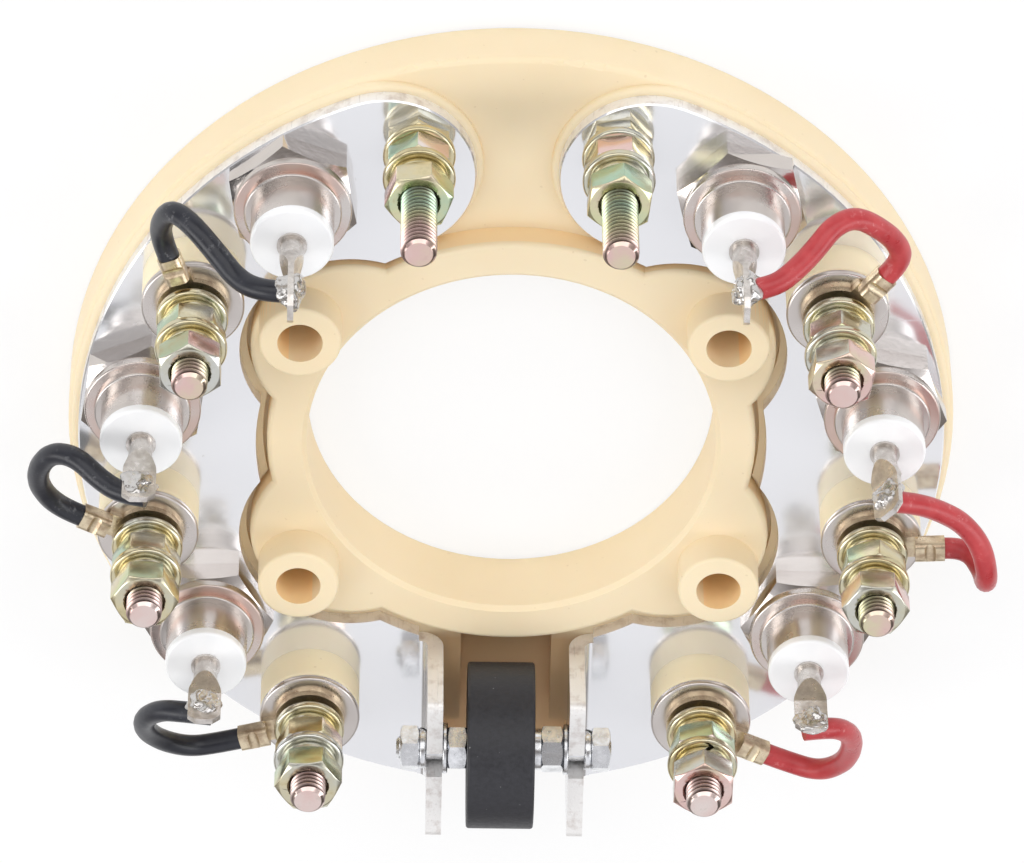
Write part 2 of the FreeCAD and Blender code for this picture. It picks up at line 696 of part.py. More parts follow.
def make_all():
    """Every node of the module, as its list of solids."""
    nodes = {"hub_ring": [make_hub_ring()],
             "heat_sink_left": [make_plate(-1)],
             "heat_sink_right": [make_plate(1)],
             "varistor_body": [make_varistor()]}
    nodes.update(make_varistor_hardware())
    groups = {}
    phase = ["flat_washers", "spring_washers", "nuts", "flat_washers", "spring_washers", "nuts"]
    direct = ["thin_nuts", "flat_washers", "nuts", "flat_washers", "spring_washers", "nuts"]
    for number, (side, place, turn, facing, hole_height, tip) in diodes.items():
        x, y = numbered_station(side, place)
        nodes["diode_case_" + number] = [placed(make_diode_case(turn), x, y, 0)]
        nodes["diode_insulator_" + number] = [placed(make_insulator(), x, y, 0)]
        nodes["diode_terminal_" + number] = [placed(make_diode_terminal(facing, hole_height, tip), x, y, 0)]
        nodes["lead_" + number] = [make_lead(number)]
        seat = m8_nut_recess + m8_nut_height
        bore = diode_stud_radius + thread_clearance
        flat = washer(m8_washer_radius, bore, m8_washer_thickness, washer_edge_round)
        groups.setdefault("diode_washers", []).append(placed(flat, x, y, seat))
        stud_nut = nut(m8_nut_flats, m8_nut_height, diode_stud_radius, turn)
        groups.setdefault("diode_nuts", []).append(placed(stud_nut, x, y, m8_nut_recess))
    for number, (side, place, direction, lower, upper, lower_split, upper_split) in phase_bolts.items():
        x, y = numbered_station(side, place)
        nodes["bush_" + number] = [placed(make_bush(), x, y, 0)]
        nodes["ring_terminal_" + number] = [placed(make_ring_terminal(direction), x, y, 0)]
        bore = m6_radius + bolt_clearance
        large = washer(large_washer_radius, bore, large_washer_thickness, washer_edge_round)
        groups.setdefault("large_washers", []).append(placed(large, x, y, bush_top))
        groups.setdefault("phase_bolts", []).append(bolt(ac_bolt_tip, x, y))
        stack(groups, phase, terminal_z + terminal_thickness, x, y, (lower, upper), (lower_split, upper_split))
    for name, (side, nut_turns, split_turn) in output_bolts.items():
        x, y = station(side, dc_station)
        nodes["output_bolt_" + name] = [bolt(dc_bolt_tip, x, y)]
        stack(groups, direct, plate_top, x, y, nut_turns, (split_turn,))
    nodes.update(groups)
    return nodes


os.makedirs("parts", exist_ok=True)
all_nodes = make_all()
for name, solids in all_nodes.items():
    shape = solids[0] if len(solids) == 1 else Part.makeCompound(solids)
    assert shape.isValid() and len(shape.Solids) == len(solids), name
    shape.exportStep("parts/" + name + ".step")
print(len(all_nodes), "nodes,", sum(len(solids) for solids in all_nodes.values()), "solids")
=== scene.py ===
# %% [markdown]
# # A rotating rectifier module
# A beige moulded ring carries two bright half-ring heat sinks, six stud diodes, eight bolts and a disc
# varistor. The construction comes from the imported frame, in metres, with its axis on Z and its back face on
# the floor. This script gives each surface its finish, and models what is too fine or too soft for the
# construction: the leads, the threads and the solder.

# %% Load the frame
import bpy
import json
import math
import random
from mathutils import Matrix, Vector, noise


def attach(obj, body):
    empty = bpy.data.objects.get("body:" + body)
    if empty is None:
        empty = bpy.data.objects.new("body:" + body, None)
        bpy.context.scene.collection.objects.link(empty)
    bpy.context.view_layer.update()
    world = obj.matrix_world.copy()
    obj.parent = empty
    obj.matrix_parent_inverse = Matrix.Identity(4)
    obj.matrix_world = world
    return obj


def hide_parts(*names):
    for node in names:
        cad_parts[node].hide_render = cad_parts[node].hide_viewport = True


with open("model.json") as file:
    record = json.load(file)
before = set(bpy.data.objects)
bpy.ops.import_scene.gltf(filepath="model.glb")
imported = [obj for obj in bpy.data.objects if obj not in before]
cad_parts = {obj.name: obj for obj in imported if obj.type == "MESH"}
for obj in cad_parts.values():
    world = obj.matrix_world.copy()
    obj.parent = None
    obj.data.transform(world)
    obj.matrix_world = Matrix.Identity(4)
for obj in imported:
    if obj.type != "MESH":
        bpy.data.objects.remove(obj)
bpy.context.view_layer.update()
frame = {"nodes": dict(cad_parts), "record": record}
nodes = frame["nodes"]
MM = 0.001
print("nodes", len(nodes))

# %% [markdown]
# ## Camera
# The photograph is taken from about 1.45 m with a long lens, 54 degrees above the ring, from the side of
# the output studs, so the picture's top is the near side. The camera's axes are written out as three unit
# vectors, which keeps its small turn about its own line of sight exact.

# %% Camera
aim = Vector((0.36, -7.37, 0.0)) * MM
distance = 1448.8 * MM
lean = math.radians(35.99)
swing = math.radians(-0.97)
roll = math.radians(0.74)
lens = 298.1
sight = Vector((math.sin(swing), math.sin(lean) * math.cos(swing), math.cos(lean) * math.cos(swing)))
upward = Vector((0, math.cos(lean), -math.sin(lean)))
upward = (upward - sight * sight.dot(upward)).normalized()
sideways = upward.cross(sight)
right_axis = sideways * math.cos(roll) + upward * math.sin(roll)
up_axis = upward * math.cos(roll) - sideways * math.sin(roll)

camera_data = bpy.data.cameras.new("camera")
camera_data.lens = lens
camera_data.sensor_width = 36
camera_data.sensor_fit = "HORIZONTAL"
camera_data.clip_end = 20
camera = bpy.data.objects.new("camera", camera_data)
bpy.context.scene.collection.objects.link(camera)
camera.matrix_world = Matrix.Translation(aim + sight * distance) @ Matrix(
    (right_axis, up_axis, sight)).transposed().to_4x4()
bpy.context.scene.camera = camera
bpy.context.scene.view_settings.view_transform = "Standard"
print("camera at", [round(x, 3) for x in camera.matrix_world.translation], "lens", lens)

# %% [markdown]
# ## Shader helpers
# Shader graphs are easier to read as sums than as boxes and wires. `Value` wraps one output socket, and
# an expression on it adds its Math nodes, also where the number comes first, as in 1 - mask.

# %% Shader helpers


class Value:
    """One output socket of a node tree, on which arithmetic adds Math nodes."""

    def __init__(self, owner, socket):
        self.owner = owner
        self.socket = socket

    def _math(self, operation, first, second):
        return self.owner.node("ShaderNodeMath", {"operation": operation}, {0: first, 1: second})

    def __add__(self, other):
        return self._math("ADD", self, other)

    __radd__ = __add__

    def __mul__(self, other):
        return self._math("MULTIPLY", self, other)

    __rmul__ = __mul__

    def __sub__(self, other):
        return self._math("SUBTRACT", self, other)

    def __rsub__(self, other):
        return self._math("SUBTRACT", other, self)

    def greatest(self, other):
        return self._math("MAXIMUM", self, other)

# %% [markdown]
# ## Finishes
# A finish is a material in the making. Its one method `node` adds any node: first its settings are set,
# then its sockets get values or links. The others name the few patterns that every finish here uses: a
# place, noise, a band of values, a blend of colours and a bump.

# %% Finishes


class Finish:
    """A node tree in the making."""

    def __init__(self, name, block=None):
        self.block = block or bpy.data.materials.new(name)
        self.block.use_nodes = True
        self.tree = self.block.node_tree
        self.tree.nodes.clear()

    def node(self, kind, settings=None, sockets=None, output=0):
        made = self.tree.nodes.new(kind)
        for key, value in (settings or {}).items():
            if key == "stops":
                while len(made.color_ramp.elements) < len(value):
                    made.color_ramp.elements.new(0.5)
                for stop, (place, colour) in zip(made.color_ramp.elements, value):
                    stop.position = place
                    stop.color = (*colour, 1)
            else:
                setattr(made, key, value)
        for key, value in (sockets or {}).items():
            socket = made.inputs[key]
            if isinstance(value, Value):
                self.tree.links.new(value.socket, socket)
            else:
                socket.default_value = (*value, 1) if socket.type == "RGBA" else value
        return Value(self, made.outputs[output]) if made.outputs else None

    def place(self):
        return self.node("ShaderNodeTexCoord", output="Object")

    def position(self, axis):
        """The place along one axis, 0 to 2, in millimetres."""
        return self.node("ShaderNodeSeparateXYZ", {}, {0: self.place()}, output=axis) * (1 / MM)

    def noise(self, scale, detail=2.0, roughness=0.5, where=None, distortion=0.0):
        """Noise from 0 to 1; the scale is in waves per metre."""
        return self.node("ShaderNodeTexNoise", {}, {
            "Vector": where or self.place(), "Scale": scale, "Detail": detail, "Roughness": roughness,
            "Distortion": distortion})

    def band(self, value, low, high, start=0.0, end=1.0):
        """A value stretched so that low becomes start and high becomes end, and held between them."""
        return self.node("ShaderNodeMapRange", {}, {
            "Value": value, "From Min": low, "From Max": high, "To Min": start, "To Max": end})

    def blend(self, factor, first, second):
        """A colour between two others, each given in numbers or already made."""
        return self.node("ShaderNodeMix", {"data_type": "RGBA"}, {0: factor, 6: first, 7: second}, output=2)

    def bump(self, height, strength, depth):
        return self.node("ShaderNodeBump", {}, {"Height": height, "Strength": strength, "Distance": depth})

    def end_with(self, shader, kind="ShaderNodeOutputMaterial"):
        self.node(kind, {}, {"Surface": shader})

    def shade(self, **sockets):
        """End the graph with the Principled shader, its sockets named with underscores for spaces."""
        named = {key.replace("_", " "): value for key, value in sockets.items()}
        self.end_with(self.node("ShaderNodeBsdfPrincipled", {}, named))
        return self.block


# %% [markdown]
# ## Moulded plastic
# The ring and its bushes are a glass-filled moulding compound: warm beige and satin, with a faint orange
# peel and clouds of paler and darker resin. Light that bounces from wall to wall turns its shadows orange,
# and the colour adds painted shade to that: a darker orange in the varistor's pocket, found by its place,
# and orange on the recessed faces that an attribute marks, fading out toward the ring's back. The bushes
# take a paler colour, partly their own creamier tone and partly painted light on their sides.

# %% Moulded plastic


def moulded_plastic(name, dark, light):
    f = Finish(name)
    clouds = f.noise(28, 3, 0.55)
    grain = f.noise(1500, 2, 0.6)
    resin_and_shade = f.blend(f.band(clouds, 0.35, 0.65), dark, light)
    specks = f.band(f.noise(900, 1, 0.5), 0.76, 0.80)
    across, along, height = f.position(0), f.position(1), f.position(2)
    # Painted shade: the varistor's pocket is painted a darker orange, most toward its floor.
    pocket_shade = f.band(across * across, 240, 100) * f.band(along, -41.5, -44)
    deep_pocket_shade = pocket_shade * f.band(height, 13.8, 12)
    # Painted shade: the faces marked as recesses are painted orange, fading out toward the ring's back.
    recess = f.node("ShaderNodeAttribute", {"attribute_name": "recess"}, output="Fac")
    recess = recess * f.band(height, 2, 9)
    resin_and_shade = f.blend(recess, f.blend(deep_pocket_shade * 0.8, resin_and_shade, (0.66, 0.40, 0.19)), (0.98, 0.70, 0.38))
    colour = f.blend(specks * 0.25, resin_and_shade, (0.55, 0.40, 0.22))
    peel = f.noise(420, 2, 0.5) + grain * 0.25
    return f.shade(Base_Color=colour, Roughness=f.band(clouds, 0.3, 0.7, 0.50, 0.62),
                   Normal=f.bump(peel, 0.12, 0.00012), Specular_IOR_Level=0.40,
                   Subsurface_Weight=0.12, Subsurface_Radius=(0.004, 0.0022, 0.001), Subsurface_Scale=1.0)


finishes = {"moulded_ring": moulded_plastic("moulded_plastic", (0.86, 0.71, 0.475), (0.90, 0.76, 0.53))}
# The bushes take the ring's moulding in a paler colour: partly their own creamier tone, partly painted light
# on their sides.
bush_painted_light = moulded_plastic("bush_plastic_painted_light", (0.96, 0.82, 0.56), (0.98, 0.86, 0.61))
print("moulded finishes 2")

# %% [markdown]
# ## Bright plates
# The plates are nickel on aluminium, rolled smooth, so they mirror what stands on them with a slight haze: a
# part of the surface scatters, which is a Metallic value below one. Where the shears cut them, torn grain
# shows under the plating, so those faces have a finish of their own, with noise stretched across the sheet.

# %% Bright plates


def bright_plate():
    f = Finish("bright_plate")
    waves = f.noise(55, 2, 0.4)
    dust = f.band(f.noise(700, 2, 0.7), 0.72, 0.78)
    scratch_place = f.node("ShaderNodeMapping", {}, {"Vector": f.place(), "Scale": (60, 2600, 60),
                                                     "Rotation": (0, 0, 0.5)})
    scratches = f.band(f.noise(1.0, 2, 0.6, scratch_place), 0.66, 0.72)
    colour = f.blend(dust * 0.35, (0.86, 0.865, 0.885), (0.60, 0.59, 0.58))
    rough = f.band(waves, 0.3, 0.7, 0.09, 0.15) + scratches * 0.10 + dust * 0.15
    return f.shade(Base_Color=colour, Metallic=0.78, Roughness=rough, Normal=f.bump(waves, 0.10, 0.0008))


def sheared_edge():
    """The edges left by the shears: torn grain across the sheet under the same plating."""
    f = Finish("sheared_edge")
    grain_place = f.node("ShaderNodeMapping", {}, {"Vector": f.place(), "Scale": (2600, 2600, 160)})
    grain = f.noise(1.0, 3, 0.65, grain_place)
    wear = f.noise(380, 3, 0.6)
    colour = f.blend(f.band(wear, 0.50, 0.72), (0.90, 0.885, 0.87), (0.66, 0.61, 0.58))
    colour = f.blend(f.band(grain, 0.60, 0.74) * 0.5, colour, (0.46, 0.43, 0.41))
    return f.shade(Base_Color=colour, Metallic=0.55, Roughness=f.band(grain, 0.3, 0.7, 0.34, 0.52),
                   Normal=f.bump(grain, 0.35, 0.0003))


finishes["bright_plate"] = bright_plate()
edge_finish = sheared_edge()
print("plate finishes 2")

# %% [markdown]
# ## Nickel
# The diodes' cases and the large washers are dull nickel. Each case has a copper-coloured ring of braze
# under its can, and the can above it is softer than the rest. Both are found by the height over the
# ring's back, since all six diodes stand at one height.

# %% Nickel


def nickel():
    f = Finish("nickel")
    tone = f.noise(90, 2, 0.5)
    pits = f.band(f.noise(1300, 2, 0.6), 0.62, 0.75)
    colour = f.blend(f.band(tone, 0.35, 0.65), (0.66, 0.615, 0.585), (0.58, 0.535, 0.505))
    height = f.position(2)
    brazed = f.band(height, 19.0, 19.4) * f.band(height, 20.1, 19.9) * f.band(tone, 0.35, 0.55)
    colour = f.blend(brazed * 0.6, colour, (0.66, 0.40, 0.32))
    soft = f.band(height, 17.4, 18.0, 0.0, 0.14)
    rough = f.band(tone, 0.3, 0.7, 0.10, 0.18) + pits * 0.10 + soft
    return f.shade(Base_Color=colour, Metallic=1.0, Roughness=rough,
                   Normal=f.bump(f.noise(800, 2, 0.6), 0.10, 0.0002))


finishes["nickel"] = nickel()
print("nickel done")

# %% [markdown]
# ## Yellow zinc
# The yellow hardware is passivated zinc, whose thin film shifts between straw, green and rose. A `tone`
# attribute on each face picks the colour from a ramp, slow noise lets it drift and a faster one mottles
# it, so no two flats look alike. Another attribute marks the roots of the threads, which are painted
# near-black: partly dirt, partly painted shade.

# %% Yellow zinc
zinc_tints = [
    (0.04, (0.645, 0.65, 0.63)), (0.16, (0.60, 0.59, 0.49)), (0.26, (0.68, 0.60, 0.38)),
    (0.38, (0.46, 0.40, 0.23)), (0.50, (0.44, 0.60, 0.46)), (0.62, (0.68, 0.68, 0.42)),
    (0.76, (0.76, 0.54, 0.50)), (0.94, (0.80, 0.72, 0.68))]


def zinc_yellow():
    f = Finish("zinc_yellow")
    tone = f.node("ShaderNodeAttribute", {"attribute_name": "tone"}, output="Fac")
    drift = f.noise(110, 1, 0.4)
    mottle = f.noise(600, 3, 0.6)
    tint = f.node("ShaderNodeValToRGB", {"stops": zinc_tints}, {
        "Fac": tone + (drift - 0.5) * 0.40 + (mottle - 0.5) * 0.12})
    groove = f.node("ShaderNodeAttribute", {"attribute_name": "groove"}, output="Fac")
    stain_and_groove_shade = f.blend(f.band(mottle, 0.60, 0.75) * 0.25, tint, (0.36, 0.30, 0.18))
    # Painted shade and dirt: the roots of the threads are painted near-black.
    stain_and_groove_shade = f.blend(f.band(groove, 0.0, 0.7) * 0.90, stain_and_groove_shade, (0.08, 0.055, 0.045))
    rough = f.band(mottle, 0.3, 0.7, 0.16, 0.27) + groove * 0.25
    return f.shade(Base_Color=stain_and_groove_shade, Metallic=1.0, Roughness=rough, Normal=f.bump(mottle, 0.08, 0.0002))


finishes["zinc_yellow"] = zinc_yellow()
print("tints of yellow zinc", len(zinc_tints))

# %% [markdown]
# ## Bright zinc, tin, solder and crimps
# The small hardware of the varistor, the lugs, the solder and the crimped terminals are bare metals that
# differ in colour, gloss and lumps. Each is one blend of two colours by noise, and apart from the solder,
# whose dark flux has a noise of its own, the same noise gives the gloss and the bump, so dark spots are
# also the dull ones.

# %% Bright zinc, tin, solder and crimps


def bright_zinc():
    f = Finish("bright_zinc")
    mottle = f.noise(650, 3, 0.6)
    colour = f.blend(f.band(mottle, 0.35, 0.7), (0.86, 0.87, 0.89), (0.66, 0.67, 0.69))
    return f.shade(Base_Color=colour, Metallic=1.0, Roughness=f.band(mottle, 0.3, 0.7, 0.14, 0.34),
                   Normal=f.bump(mottle, 0.15, 0.0002))


def tinned():
    f = Finish("tinned")
    mottle = f.noise(420, 4, 0.65)
    colour = f.blend(f.band(mottle, 0.35, 0.65), (0.75, 0.715, 0.68), (0.50, 0.46, 0.425))
    return f.shade(Base_Color=colour, Metallic=1.0, Roughness=f.band(mottle, 0.3, 0.7, 0.22, 0.40),
                   Normal=f.bump(mottle, 0.2, 0.0003))


def solder():
    f = Finish("solder")
    lumps = f.noise(480, 3, 0.6, distortion=0.6)
    flux = f.band(f.noise(500, 3, 0.6), 0.60, 0.70)
    colour = f.blend(flux * 0.7, (0.62, 0.605, 0.59), (0.22, 0.18, 0.14))
    return f.shade(Base_Color=colour, Metallic=1.0, Roughness=f.band(lumps, 0.3, 0.7, 0.16, 0.34),
                   Normal=f.bump(lumps, 0.35, 0.0003))


def copper_terminal():
    f = Finish("copper_terminal")
    wear = f.noise(420, 4, 0.65)
    colour = f.blend(f.band(wear, 0.42, 0.66), (0.76, 0.645, 0.46), (0.46, 0.345, 0.235))
    return f.shade(Base_Color=colour, Metallic=1.0, Roughness=f.band(wear, 0.3, 0.7, 0.24, 0.42),
                   Normal=f.bump(wear, 0.3, 0.0003))


finishes["bright_zinc"] = bright_zinc()
finishes["tinned_lug"] = tinned()
finishes["copper_terminal"] = copper_terminal()
solder_finish = solder()
print("bare metals 4")

# %% [markdown]
# ## Ceramic, insulation and coating
# The insulators are glazed white. The leads are soft plastic with a broad sheen and faint smudges, and the
# varistor has a matt black coat with pores and a few pale specks of dust.

# %% Ceramic, insulation and coating


def white_glaze():
    f = Finish("white_glaze")
    cloud = f.noise(160, 2, 0.5)
    colour = f.blend(f.band(cloud, 0.35, 0.65), (0.95, 0.95, 0.955), (0.92, 0.925, 0.935))
    return f.shade(Base_Color=colour, Roughness=f.band(cloud, 0.3, 0.7, 0.10, 0.18),
                   Normal=f.bump(f.noise(600, 2, 0.5), 0.05, 0.0001), Subsurface_Weight=0.15,
                   Subsurface_Radius=(0.002, 0.002, 0.002), Subsurface_Scale=1.0)


def insulation(name, dark, light, scuffed, sheen_low, sheen_high):
    f = Finish(name)
    scuffs = f.band(f.noise(800, 4, 0.75), 0.56, 0.66) * f.band(f.noise(130, 2, 0.5), 0.48, 0.60)
    smudge = f.noise(260, 3, 0.6)
    fine = f.noise(1600, 2, 0.6)
    colour = f.blend(scuffs * 0.65, f.blend(f.band(smudge, 0.35, 0.7), dark, light), scuffed)
    sheen = f.band(smudge, 0.3, 0.7, sheen_low, sheen_high) + scuffs * 0.15
    return f.shade(Base_Color=colour, Roughness=sheen,
                   Normal=f.bump(smudge + fine * 0.15, 0.12, 0.0004))


def varistor_coat():
    f = Finish("varistor_coat")
    grain = f.noise(1100, 3, 0.65)
    specks = f.band(f.noise(1400, 1, 0.5), 0.79, 0.81)
    colour = f.blend(specks, f.blend(f.band(grain, 0.3, 0.7), (0.014, 0.014, 0.018), (0.027, 0.027, 0.033)),
                     (0.30, 0.30, 0.30))
    return f.shade(Base_Color=colour, Roughness=f.band(grain, 0.3, 0.7, 0.42, 0.58),
                   Normal=f.bump(grain, 0.25, 0.0003))


finishes["white_ceramic"] = white_glaze()
finishes["black_insulation"] = insulation("black_insulation", (0.011, 0.012, 0.019), (0.019, 0.021, 0.030),
                                          (0.17, 0.17, 0.18), 0.28, 0.42)
finishes["red_insulation"] = insulation("red_insulation", (0.43, 0.030, 0.036), (0.53, 0.055, 0.060),
                                        (0.66, 0.24, 0.24), 0.26, 0.42)
finishes["varistor_coat"] = varistor_coat()
print("finishes", sorted(finishes))

# %% [markdown]
# ## Pieces taken over from the frame
# The frame's meshes are loose triangles with flat shading, and on polished metal each flat facet shows. A
# copy is merged and shaded smooth up to an angle, which keeps the real edges sharp and lets round walls
# look round. Normals weighted by area keep each flat face truly flat beside its fillets, or a mirror
# would bend what it shows. The copy stands for its node, in the same place.

# %% Pieces taken over from the frame


def select_only(obj):
    bpy.ops.object.select_all(action="DESELECT")
    bpy.context.view_layer.objects.active = obj
    obj.select_set(True)


def finish_piece(obj, slot, material, *replaced):
    """Give a finished piece its material and its ride."""
    obj.data.materials.clear()
    obj.data.materials.append(material)
    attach(obj, "root")
    if replaced:
        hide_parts(*replaced)
    return obj


def even_normals(mesh, angle):
    """Give each corner the area-weighted mean of the nearby faces that lie within an angle of its own."""
    limit = math.cos(math.radians(angle))
    around = [[] for _ in mesh.vertices]
    for face in mesh.polygons:
        for vertex in face.vertices:
            around[vertex].append((face.normal.copy(), face.area))
    normals = []
    for face in mesh.polygons:
        own = face.normal.copy()
        for vertex in face.vertices:
            total = sum((way * area for way, area in around[vertex] if own.dot(way) > limit), Vector())
            normals.append(total.normalized() if total.length > 0 else own)
    mesh.normals_split_custom_set(normals)


def smooth_copy(node, slot, edge_angle=28):
    """A merged copy of a node, shaded smooth across edges below an angle in degrees."""
    copy = bpy.data.objects.new(node + "_smooth", nodes[node].data.copy())
    bpy.context.scene.collection.objects.link(copy)
    select_only(copy)
    bpy.ops.object.mode_set(mode="EDIT")
    bpy.ops.mesh.select_all(action="SELECT")
    bpy.ops.mesh.remove_doubles(threshold=1e-7)
    bpy.ops.object.mode_set(mode="OBJECT")
    bpy.ops.object.shade_smooth_by_angle(angle=math.radians(edge_angle))
    even_normals(copy.data, edge_angle)
    return finish_piece(copy, slot, bush_painted_light if node.startswith("bush") else finishes[slot], node)

# %% [markdown]
# ## Sheared edges and recesses
# Two finishes depend on where a face lies. The plates' rims and the ends of their tabs were cut, so these
# faces take a second material. The ring's recessed walls carry a number that its one material reads to
# paint orange shade on them. Faces are told apart by their place and the way that they face.

# %% Sheared edges and recesses


def shear_edges(plate):
    """Give the faces left by the shears their own finish: the rim, and the tab's ends and top."""
    plate.data.materials.append(edge_finish)
    bend_height, rim_depth = 1.5 * MM, 3 * MM
    flat_top = max(face.center.z for face in plate.data.polygons
                   if face.normal.z > 0.99 and face.area > 100 * MM * MM)
    for face in plate.data.polygons:
        if face.center.z > flat_top + bend_height:
            sheared = abs(face.normal.y) > 0.7 or face.normal.z > 0.7
        else:
            sheared = abs(face.normal.z) < 0.3 and face.center.z > flat_top - rim_depth
        if sheared:
            face.material_index = 1


boss_angle = math.radians(35.3)
boss = Vector((math.cos(boss_angle), math.sin(boss_angle))) * 43.8 * MM
boss_hole_reach = 4.3 * MM
hole_low = 14.1 * MM
wall_low, wall_high, wall_reach = 9 * MM, 13 * MM, 60 * MM


def mark_recess_shade(ring):
    """Mark the bosses' holes and the collar's outer wall for the moulding's painted orange shade."""
    recess = ring.data.attributes.new("recess", "FLOAT", "FACE")
    for face in ring.data.polygons:
        center = face.center
        inward = face.normal.xy.dot(center.xy) < 0
        near_boss = (Vector((abs(center.x), abs(center.y))) - boss).length < boss_hole_reach
        in_hole = near_boss and (inward or center.z > hole_low)
        outer_wall = not inward and wall_low < center.z < wall_high and center.xy.length < wall_reach
        # Painted shade: the holes take the full mark, the collar's outer wall a little over half of it.
        mark = 1.0 if in_hole else 0.55 if outer_wall else 0.0
        recess.data[face.index].value = mark if abs(face.normal.z) < 0.3 else 0.0

# %% [markdown]
# ## The copies
# All nodes are copied this way, apart from those that are modelled again below with their fine form.

# %% The copies
slot_of = {part["node"]: part["material_slot"] for part in frame["record"]["subparts"]}
remade = {"phase_bolts", "output_bolt_left", "output_bolt_right", "nuts", "thin_nuts", "flat_washers",
          "spring_washers", "large_washers"} | {"lead_%d" % k for k in range(1, 7)}
for node in sorted(nodes):
    if node not in remade:
        piece = smooth_copy(node, slot_of[node])
        if node.startswith("heat_sink"):
            shear_edges(piece)
        if node == "hub_ring":
            mark_recess_shade(piece)
print("smooth copies", len(nodes) - len(remade))

# %% [markdown]
# ## Leads
# Each lead is a short stiff jumper in round insulation, from the solder lug of a diode to the crimp of a
# terminal. Its length is fixed, so its line is one smooth curve through a few listed points, the
# same points as in the construction. The order of the curve is set after its points are there.

# %% Leads
lead_diameter = 3.7 * MM
lead_routes = {
    "1": [(-37.85, 50.8, 42.2), (-41.8, 50.6, 41.8), (-45.8, 50.6, 38.8), (-49.4, 54.0, 35.9),
          (-53.4, 57.6, 33.0), (-56.5, 58.2, 30.0), (-58.2, 54.9, 27.2), (-59.0, 48.9, 23.4),
          (-57.52, 44.57, 23.4)],
    "2": [(-60.9, 7.65, 40.4), (-64.9, 7.45, 39.3), (-68.6, 8.4, 36.9), (-72.6, 10.9, 33.9),
          (-76.6, 9.9, 31.3), (-79.2, 5.2, 28.8), (-79.5, -1.0, 25.8), (-76.3, -7.2, 23.4),
          (-72.43, -9.0, 23.4)],
    "3": [(-50.1, -38.8, 39.4), (-54.4, -38.8, 38.7), (-58.8, -40.2, 36.4), (-61.7, -44.4, 33.2),
          (-61.8, -49.6, 29.8), (-59.0, -54.6, 26.4), (-54.4, -57.6, 24.2), (-50.0, -57.5, 23.4),
          (-45.55, -56.3, 23.4)],
    "4": [(37.9, 50.8, 40.0), (41.7, 51.3, 39.8), (45.6, 53.4, 37.2), (48.6, 55.4, 34.4),
          (51.4, 58.2, 32.0), (55.0, 58.6, 29.8), (59.0, 55.2, 27.8), (62.4, 50.6, 25.4),
          (63.68, 45.72, 23.4), (61.21, 42.58, 23.4)],
    "5": [(63.15, 9.04, 41.0), (66.8, 7.7, 39.6), (71.0, 4.9, 37.7), (75.4, 1.2, 36.2),
          (78.6, -3.8, 35.8), (79.9, -9.4, 35.4), (80.1, -14.0, 33.0), (79.8, -14.6, 28.2),
          (77.37, -13.41, 23.4), (73.57, -13.6, 23.4)],
    "6": [(50.1, -38.8, 41.6), (53.6, -38.9, 40.8), (56.8, -40.9, 38.4), (58.8, -45.0, 35.2),
          (59.1, -50.4, 32.0), (58.0, -56.0, 28.6), (54.2, -60.2, 25.6), (48.9, -60.0, 23.4),
          (44.88, -58.18, 23.4)],
}

print("leads", len(lead_routes))

# %% [markdown]
# ## Lead covers
# The route becomes the control points of one smooth curve, and the curve's own bevel gives it its round
# section, which keeps the thickness true in every bend. Its length is then measured on the bare line.

# %% Lead covers


def line_length(obj):
    """The length of a curve's own line, read with its thickness taken off."""
    bare = obj.copy()
    bare.data = obj.data.copy()
    bare.data.bevel_depth = 0
    bpy.context.scene.collection.objects.link(bare)
    mesh = bpy.data.meshes.new_from_object(bare.evaluated_get(bpy.context.evaluated_depsgraph_get()))
    points = [v.co.copy() for v in mesh.vertices]
    bpy.data.objects.remove(bare)
    bpy.data.meshes.remove(mesh)
    return sum((b - a).length for a, b in zip(points, points[1:]))


for number, route in lead_routes.items():
    curve = bpy.data.curves.new("lead_line_" + number, "CURVE")
    curve.dimensions = "3D"
    curve.resolution_u = 12
    curve.bevel_depth = lead_diameter / 2
    curve.bevel_resolution = 6
    curve.use_fill_caps = True
    spline = curve.splines.new("NURBS")
    spline.points.add(len(route) - 1)
    for point, place in zip(spline.points, route):
        point.co = (*(Vector(place) * MM), 1)
    spline.order_u = 3
    spline.use_endpoint_u = True
    lead = bpy.data.objects.new("lead_cover_" + number, curve)
    bpy.context.scene.collection.objects.link(lead)
    bpy.context.view_layer.update()
    slot = slot_of["lead_" + number]
    finish_piece(lead, slot, finishes[slot], "lead_" + number)
    length = line_length(lead)
    print("lead", number, round(length / MM, 1), "mm")

# %% [markdown]
# ## Turned shapes
# Bolts, nuts and washers are turned on a lathe, and so they are here: an outline of radius and height is
# swept about Z by the Screw modifier. With a rise, the same sweep makes a helix. Booleans then cut one
# shape with another, which is exact where a hand-made mesh would need patching.

# %% Turned shapes


